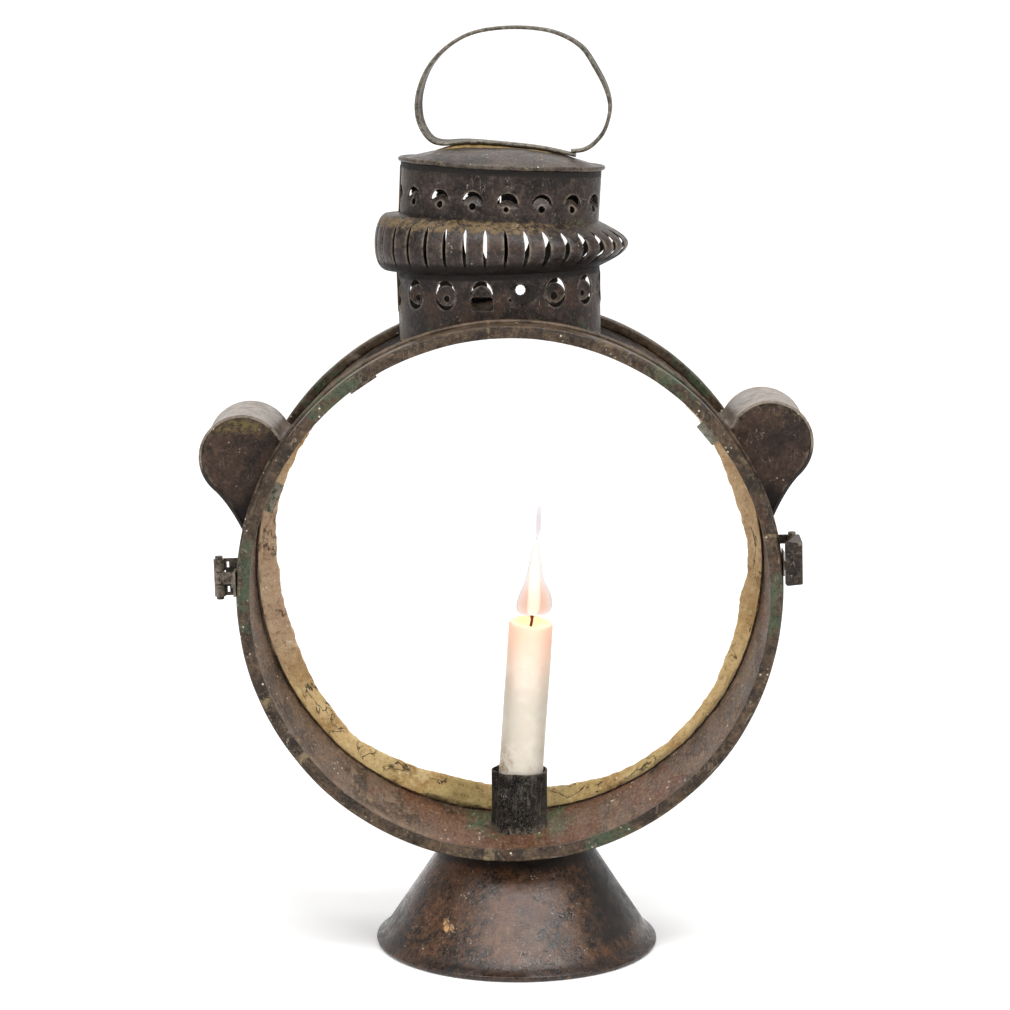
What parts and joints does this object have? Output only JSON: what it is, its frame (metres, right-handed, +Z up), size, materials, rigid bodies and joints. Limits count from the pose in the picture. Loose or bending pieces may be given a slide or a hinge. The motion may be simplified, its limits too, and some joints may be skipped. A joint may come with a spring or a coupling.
{
  "type": "candle lantern",
  "caption": "Round-bodied tinplate candle lantern on a cone foot, with glass front and back, a hinged door, a vented chimney and a loop handle.",
  "frame": {"origin": "on the floor, under the middle of the overall width and depth", "axes": "+Z up, -Y towards the front of the glazed door, +X to the right seen from the front"},
  "size_m": [0.302, 0.1428, 0.4637],
  "materials": {
    "foot_tin": "worn reddish brown lacquer on tinplate, satin",
    "drum_tin": "aged grey-brown tinplate, dull",
    "ring_tin": "worn dark brown lacquer with green tarnish, satin",
    "chimney_tin": "dark brown lacquer, satin, corroded edges",
    "cap_tin": "grey-brown tarnished tinplate, satin",
    "ear_strip_tin": "tarnished tinplate, satin",
    "ear_plate_tin": "worn dark brown lacquer, mottled",
    "grey_tin": "tarnished tinplate, satin",
    "fitting_iron": "blackened iron, worn",
    "sooty_tin": "soot on grey tinplate, matt",
    "clip_tin": "green tarnish on tinplate, dull",
    "putty": "dried, cracked putty",
    "wax": "smooth wax",
    "wick": "charred cotton",
    "glass": "clear window glass"
  },
  "bodies": {
    "lantern": {"foot_cone": "foot_tin", "drum_band": "drum_tin", "back_ring": "ring_tin", "back_glass": "glass", "back_putty": "putty", "chimney": "chimney_tin", "cap": "cap_tin", "handle_loop": "grey_tin", "ear_right_wall": "ear_strip_tin", "ear_right_front_plate": "ear_plate_tin", "ear_right_back_plate": "ear_plate_tin", "ear_left_wall": "ear_strip_tin", "ear_left_front_plate": "ear_plate_tin", "ear_left_back_plate": "ear_plate_tin", "hinge_drum_leaf": "fitting_iron", "hinge_pin": "fitting_iron", "latch_bracket": "fitting_iron", "latch_pin": "fitting_iron", "candle_socket": "sooty_tin"},
    "door": {"door_frame": "ring_tin", "front_glass": "glass", "glass_clip_1": "clip_tin", "glass_clip_2": "clip_tin", "glass_clip_3": "clip_tin", "glass_clip_4": "clip_tin", "glass_clip_5": "clip_tin", "hinge_door_leaf": "fitting_iron", "latch_strike": "grey_tin"},
    "latch": {"latch_hasp": "fitting_iron"},
    "candle": {"candle": "wax", "wick": "wick"}
  },
  "joints": [
    {"name": "door_hinge", "type": "hinge", "parent": "lantern", "child": "door", "pos_m": [-0.14156, -0.026, 0.19342], "axis": [0.0314, 0, -0.9995], "range_deg": [0, 125]},
    {"name": "latch_swing", "type": "hinge", "parent": "lantern", "child": "latch", "pos_m": [0.14261, -0.016, 0.20525], "axis": [-0.0314, 0, 0.9995], "range_deg": [0, 110]},
    {"name": "candle_lift", "type": "slide", "parent": "lantern", "child": "candle", "axis": [0.061, 0, 0.9981], "range_m": [0, 0.04]}
  ]
}
